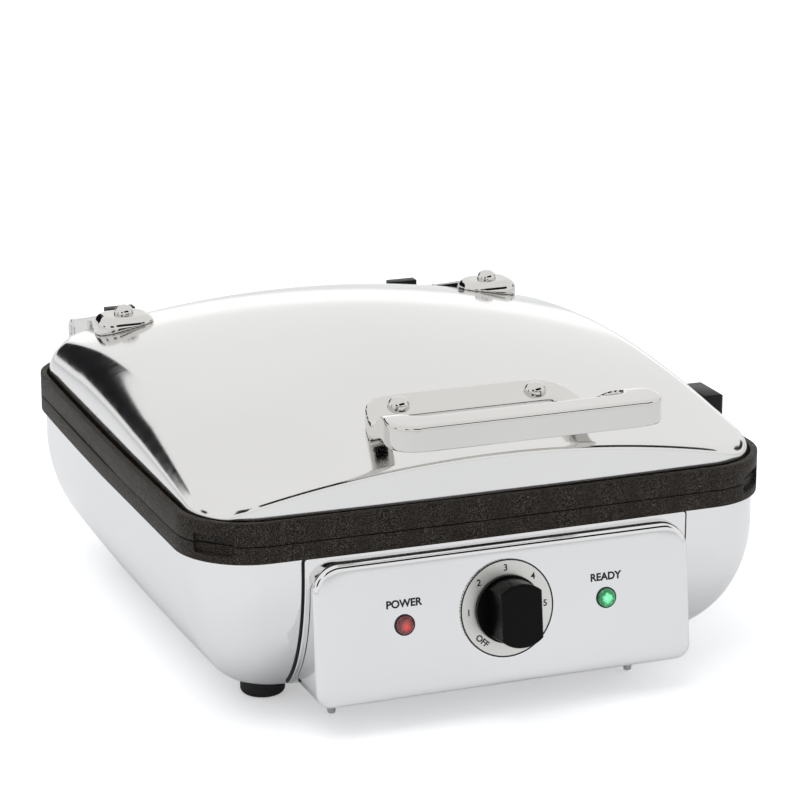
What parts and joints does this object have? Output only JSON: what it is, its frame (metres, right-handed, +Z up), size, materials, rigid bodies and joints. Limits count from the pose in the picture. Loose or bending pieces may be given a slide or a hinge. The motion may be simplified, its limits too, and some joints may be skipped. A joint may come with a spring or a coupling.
{
  "type": "belgian waffle maker",
  "caption": "Square belgian waffle maker with a hinged domed lid, studded cast plates, front handle, tilted control panel with a dial and lights, and rear cord stands.",
  "frame": {"origin": "on the surface the feet stand on, midway across the overall box in X and Y, the side tab counted in", "axes": "+Z up; -Y towards the front panel and handle; +X towards the right-hand side as a user faces the front panel"},
  "size_m": [0.3426, 0.4295, 0.1735],
  "materials": {
    "black_plastic": "moulded black",
    "chrome_casting": "bright chrome on a casting",
    "dial_metal": "grey with printed figures",
    "green_lens": "clear green, lit",
    "knob_plastic": "black with a soft sheen",
    "lamp_glass": "clear",
    "nonstick_casting": "black speckled non-stick coat on cast aluminium",
    "polished_steel": "mirror polished",
    "red_lens": "clear red",
    "rubber_foot": "soft black",
    "satin_steel": "finely brushed",
    "terminal_moulding": "cream heat-resistant moulding",
    "zinc_steel": "plated"
  },
  "bodies": {
    "base": {"base_housing": "polished_steel", "bottom_cover": "black_plastic", "cover_screws": "zinc_steel", "post_screws": "zinc_steel", "foot_screws": "zinc_steel", "foot_front_left": "rubber_foot", "foot_front_right": "rubber_foot", "foot_rear_left": "rubber_foot", "foot_rear_right": "rubber_foot", "plate_posts": "zinc_steel", "lower_heat_shield": "zinc_steel", "lower_heating_element": "zinc_steel", "lower_element_clamps": "zinc_steel", "thermal_fuse": "zinc_steel", "terminal_block": "terminal_moulding", "cord_gland": "black_plastic", "lower_cooking_plate": "nonstick_casting", "control_panel": "polished_steel", "panel_pins": "zinc_steel", "dial_plate": "dial_metal", "thermostat_body": "zinc_steel", "thermostat_nut": "zinc_steel", "power_lens": "red_lens", "power_lamp": "lamp_glass", "ready_lens": "green_lens", "ready_lamp": "lamp_glass", "hinge_base_left": "chrome_casting", "hinge_base_right": "chrome_casting", "hinge_pin_left": "zinc_steel", "hinge_pin_right": "zinc_steel", "hinge_base_screws": "zinc_steel", "rear_stand_screws": "zinc_steel", "rear_stand_left": "black_plastic", "rear_stand_right": "black_plastic"},
    "lid": {"upper_cooking_plate": "nonstick_casting", "lid_shell": "satin_steel", "side_tab": "black_plastic", "tab_screws": "zinc_steel", "upper_heat_shield": "zinc_steel", "upper_heating_element": "zinc_steel", "upper_element_clamps": "zinc_steel", "lid_handle": "chrome_casting", "handle_screws": "chrome_casting", "hinge_strap_left": "chrome_casting", "hinge_strap_right": "chrome_casting", "hinge_bolts": "zinc_steel", "hinge_nuts": "chrome_casting", "strap_screws": "zinc_steel"},
    "knob": {"control_knob": "knob_plastic", "thermostat_shaft": "zinc_steel"}
  },
  "joints": [
    {"name": "lid_hinge", "type": "hinge", "parent": "base", "child": "lid", "pos_m": [-0.00625, 0.21, 0.121], "axis": [-1, 0, 0], "range_deg": [0, 100]},
    {"name": "knob_turn", "type": "hinge", "parent": "base", "child": "knob", "pos_m": [-0.00625, -0.17807, 0.05897], "axis": [0, -0.9925, 0.1219], "range_deg": [-90, 137]}
  ]
}
